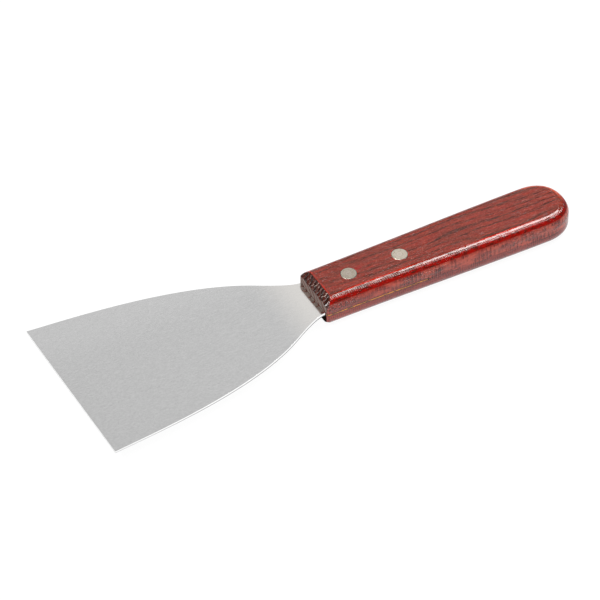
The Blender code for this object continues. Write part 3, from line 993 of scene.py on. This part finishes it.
def steel_material():
    """Satin steel, brushed lengthways, with a painted reflection of the wood near the handle, and sides
    painted bright as a highlight with painted shade below.
    """
    material, n, shader, place = new_material("brushed_steel")
    x, y, z = n.split(place)
    brushing = n.noise(place, BRUSHING)
    mottle = n.math("MULTIPLY", n.noise(place, MOTTLE), MOTTLE_SHARE)
    tone = n.math("MULTIPLY_ADD", brushing, BRUSHING_SHARE, mottle)
    steel = n.blend(n.step(tone, *STEEL_TONES), DULL_STEEL, BRIGHT_STEEL)
    steel = n.stain(steel, FAR_HALF_STAIN, n.step(y, *FAR_HALF))
    # painted reflection of the handle's wood near the neck
    steel = n.stain(steel, WOOD_REFLECTION_STAIN, n.step(x, *WOOD_REFLECTION_REACH))
    side = n.step(n.math("ABSOLUTE", facing(n)[2]), *STEEL_SIDE)
    # painted highlight on the sides
    steel = n.stain(steel, STEEL_SIDE_HIGHLIGHT, side)
    # painted shade on the lower part of the sides
    steel = n.stain(steel, SIDE_SHADE_STAIN, n.product(side, n.step(z, *SIDE_SHADE_BELOW)))
    n.put(shader.inputs["Base Color"], steel)
    shader.inputs["Metallic"].default_value = 1.0
    n.put(shader.inputs["Roughness"], n.line(brushing, *MIDDLE_NOISE, *STEEL_ROUGHNESS))
    relief = n.add("Bump", {"Strength": 1.0, "Distance": BRUSHING_RELIEF, "Height": tone})
    n.put(shader.inputs["Normal"], relief.outputs[0])
    return material


# ---- Rivet metal --------------------------------------------------------------------------------
CLOUDS = Noise((0.5, 0.5, 0.5), detail=3.0)
WARM_METAL = colour(0.56, 0.485, 0.39)
PALE_METAL = colour(0.64, 0.565, 0.475)

SWIRL_PITCH = 1.05
SWIRL_WANDER = 5.0  # in radians
SWIRL_CREST = (-0.4, 0.9)
SWIRL_RADIUS = (2.4, 1.4)
SWIRL_STAIN = Stain(0.78, 0.69, 0.61, cover=0.5)
HEAD_RIM = (2.5, 3.1)
HEAD_RIM_STAIN = Stain(0.58, 0.60, 0.50, cover=0.6)

BETWEEN_RIVETS = past((rivet_place("front")[0] + rivet_place("rear")[0]) / 2, -2.35, 2.65)
FRONT_RIVET_TONE = 0.82  # of the rear one's
RIVET_ROUGHNESS = (0.26, 0.30)


def rivet_material():
    """Aluminium with clouded swirls in the middle of each head and a greener rim."""
    material, n, shader, place = new_material("rivet_aluminium")
    x, y, _ = n.split(place)
    cloud = n.noise(place, CLOUDS)
    metal = n.blend(n.step(cloud, *MIDDLE_NOISE), WARM_METAL, PALE_METAL)
    radius = rivet_distance(n, x, y)
    swirl = n.step(n.wave(radius, SWIRL_PITCH, n.math("MULTIPLY", cloud, SWIRL_WANDER)), *SWIRL_CREST)
    metal = n.stain(metal, SWIRL_STAIN, n.product(swirl, n.step(radius, *SWIRL_RADIUS)))
    metal = n.stain(metal, HEAD_RIM_STAIN, n.step(radius, *HEAD_RIM))
    tone = n.step(x, *BETWEEN_RIVETS, FRONT_RIVET_TONE, 1.0)
    tones = n.add("CombineColor", {0: tone, 1: tone, 2: tone}).outputs[0]
    n.put(shader.inputs["Base Color"], n.blend(1.0, metal, tones, "MULTIPLY"))
    shader.inputs["Metallic"].default_value = 1.0
    n.put(shader.inputs["Roughness"], n.line(cloud, *MIDDLE_NOISE, *RIVET_ROUGHNESS))
    return material


# ---- Amber resin --------------------------------------------------------------------------------
AMBER_CLOUDS = Noise((0.35, 1.5, 1.5), detail=3.0, rough=0.6, starts=0.42, full=0.58)
DARK_AMBER = colour(0.14, 0.038, 0.008)
BRIGHT_AMBER = colour(0.66, 0.21, 0.018)
LINE_EDGE = (0.20, 0.32)
LINE_EDGE_STAIN = Stain(0.030, 0.008, 0.005)
STAINED_OVER = (0.54, 0.66)
WOOD_STAIN = Stain(0.260, 0.048, 0.036)
RESIN_ROUGHNESS = (0.25, 0.4)


def resin_material():
    """An amber line with dark edges. Beyond them the resin wears the wood's stain."""
    material, n, shader, place = new_material("amber_resin")
    cloud = n.noise(place, AMBER_CLOUDS)
    amber = n.blend(n.step(cloud, AMBER_CLOUDS.starts, AMBER_CLOUDS.full), DARK_AMBER, BRIGHT_AMBER)
    from_middle = n.math("ABSOLUTE", n.math("SUBTRACT", n.split(place)[2], MID_Z * MM))
    amber = n.stain(amber, LINE_EDGE_STAIN, n.step(from_middle, *LINE_EDGE))
    amber = n.stain(amber, WOOD_STAIN, n.step(from_middle, *STAINED_OVER))
    n.put(shader.inputs["Base Color"], amber)
    n.put(shader.inputs["Roughness"], n.line(cloud, *MIDDLE_NOISE, *RESIN_ROUGHNESS))
    return material


# ---- Stage, in metres ---------------------------------------------------------------------------
FLOOR_RADIUS = 20.0
FLOOR_STEPS = 64
FLOOR_ALBEDO = 0.80
FLOOR_GLOW = 0.94
FLOOR_SHADE = 0.08
ROOM_LIGHT = 0.13
BACK_LIGHT = 0.90
BACK_AZIMUTH = math.radians(61)
BACK_ELEVATION = math.radians(37)
BACK_CORE = math.cos(math.radians(9))
BACK_RIM = math.cos(math.radians(16))

Softbox = namedtuple("Softbox", "name place aim width depth brightness")
HANDLE_MIDDLE = (0.02, 0.0, 0.0)
KNIFE_MIDDLE = (0.0, 0.0, 0.0)
SOFTBOXES = (
    Softbox("overhead", (0.40, 0.115, 0.62), HANDLE_MIDDLE, width=0.23, depth=0.30, brightness=19.0),
    Softbox("overhead_soft", (0.40, -0.09, 0.62), HANDLE_MIDDLE, width=0.34, depth=0.30, brightness=5.0),
    Softbox("high", (-0.25, -0.45, 0.90), KNIFE_MIDDLE, width=0.50, depth=0.50, brightness=4.0),
    Softbox("front_high", (-0.62, 0.05, 0.79), KNIFE_MIDDLE, width=0.42, depth=0.165, brightness=26.0),
    Softbox("front_left", (-0.75, -0.95, 0.50), KNIFE_MIDDLE, width=0.60, depth=0.60, brightness=4.0),
)

CAMERA_AZIMUTH = math.radians(-29.137)
CAMERA_ELEVATION = math.radians(42.897)
CAMERA_DISTANCE = 1.5829
CAMERA_TARGET = Vector((-0.00922, 0.00202, MID_Z))
CAMERA_LENS = 240.0  # millimetres, like the sensor
CAMERA_SENSOR = 36.0


def floor_material():
    """White to what sees or mirrors it, less the knife's shadow, and a pale matt sheet otherwise."""
    material = bpy.data.materials.new("white_floor")
    material.use_nodes = True
    material.node_tree.nodes.clear()
    n = Nodes(material.node_tree)
    path = n.add("LightPath").outputs
    seen = n.math("MAXIMUM", path["Is Camera Ray"], path["Is Glossy Ray"])
    seen = n.math("MAXIMUM", seen, path["Is Transmission Ray"])
    sheet = n.add("BsdfDiffuse", {"Color": grey(FLOOR_ALBEDO)})
    shaded = n.add("BsdfDiffuse", {"Color": grey(FLOOR_SHADE)})
    glow = n.add("Emission", {"Color": WHITE, "Strength": FLOOR_GLOW})
    bright = n.add("AddShader", {0: shaded.outputs[0], 1: glow.outputs[0]})
    both = n.add("MixShader", {0: seen, 1: sheet.outputs[0], 2: bright.outputs[0]})
    n.put(n.add("OutputMaterial").inputs["Surface"], both.outputs[0])
    return material


def make_floor():
    edit = bmesh.new()
    bmesh.ops.create_circle(edit, cap_ends=True, segments=FLOOR_STEPS, radius=FLOOR_RADIUS)
    mesh = bpy.data.meshes.new("floor")
    edit.to_mesh(mesh)
    edit.free()
    mesh.materials.append(floor_material())
    floor = link(bpy.data.objects.new("floor", mesh))


def make_world():
    """A dim room with a soft bright patch behind the knife, which the blade mirrors."""
    world = bpy.data.worlds.new("studio")
    bpy.context.scene.world = world
    world.use_nodes = True
    n = Nodes(world.node_tree)
    background = world.node_tree.nodes["Background"]
    flat = math.cos(BACK_ELEVATION)
    centre = (math.cos(BACK_AZIMUTH) * flat, math.sin(BACK_AZIMUTH) * flat, math.sin(BACK_ELEVATION))
    direction = n.add("TexCoord").outputs["Generated"]
    towards = n.add("VectorMath", {0: direction, 1: centre}, operation="DOT_PRODUCT").outputs["Value"]
    background.inputs["Color"].default_value = WHITE
    n.put(background.inputs["Strength"], n.step(towards, BACK_RIM, BACK_CORE, ROOM_LIGHT, BACK_LIGHT))


def add_softbox(box):
    lamp = bpy.data.lights.new(box.name, "AREA")
    lamp.shape = "RECTANGLE"
    lamp.size = box.width
    lamp.size_y = box.depth
    lamp.energy = box.brightness * math.pi * box.width * box.depth
    made = link(bpy.data.objects.new(box.name, lamp))
    made.location = box.place
    made.rotation_euler = (Vector(box.aim) - Vector(box.place)).to_track_quat("-Z", "Y").to_euler()


def make_camera():
    camera = bpy.data.cameras.new("camera")
    camera.lens = CAMERA_LENS
    camera.sensor_width = CAMERA_SENSOR
    made = link(bpy.data.objects.new("camera", camera))
    flat = math.cos(CAMERA_ELEVATION)
    back = Vector(
        (math.sin(CAMERA_AZIMUTH) * flat, -math.cos(CAMERA_AZIMUTH) * flat, math.sin(CAMERA_ELEVATION))
    )
    made.location = CAMERA_TARGET + back * CAMERA_DISTANCE
    made.rotation_mode = "QUATERNION"
    made.rotation_quaternion = (-back).to_track_quat("-Z", "Y")
    bpy.context.scene.camera = made


# ---- Assembly -----------------------------------------------------------------------------------
finish_piece(make_blade(), "blade", steel_material())
finish_piece(make_handle(), "handle", wood_material())
finish_piece(make_resin(), "kerf_resin", resin_material())
METAL = rivet_material()
for rivet_end in RIVETS:
    pin_half, tube_half = make_rivet(rivet_end)
    finish_piece(pin_half, rivet_end + "_rivet_pin", METAL)
    finish_piece(tube_half, rivet_end + "_rivet_tube", METAL)

make_floor()
make_world()
for softbox in SOFTBOXES:
    add_softbox(softbox)
make_camera()
bpy.context.scene.view_settings.view_transform = "Standard"
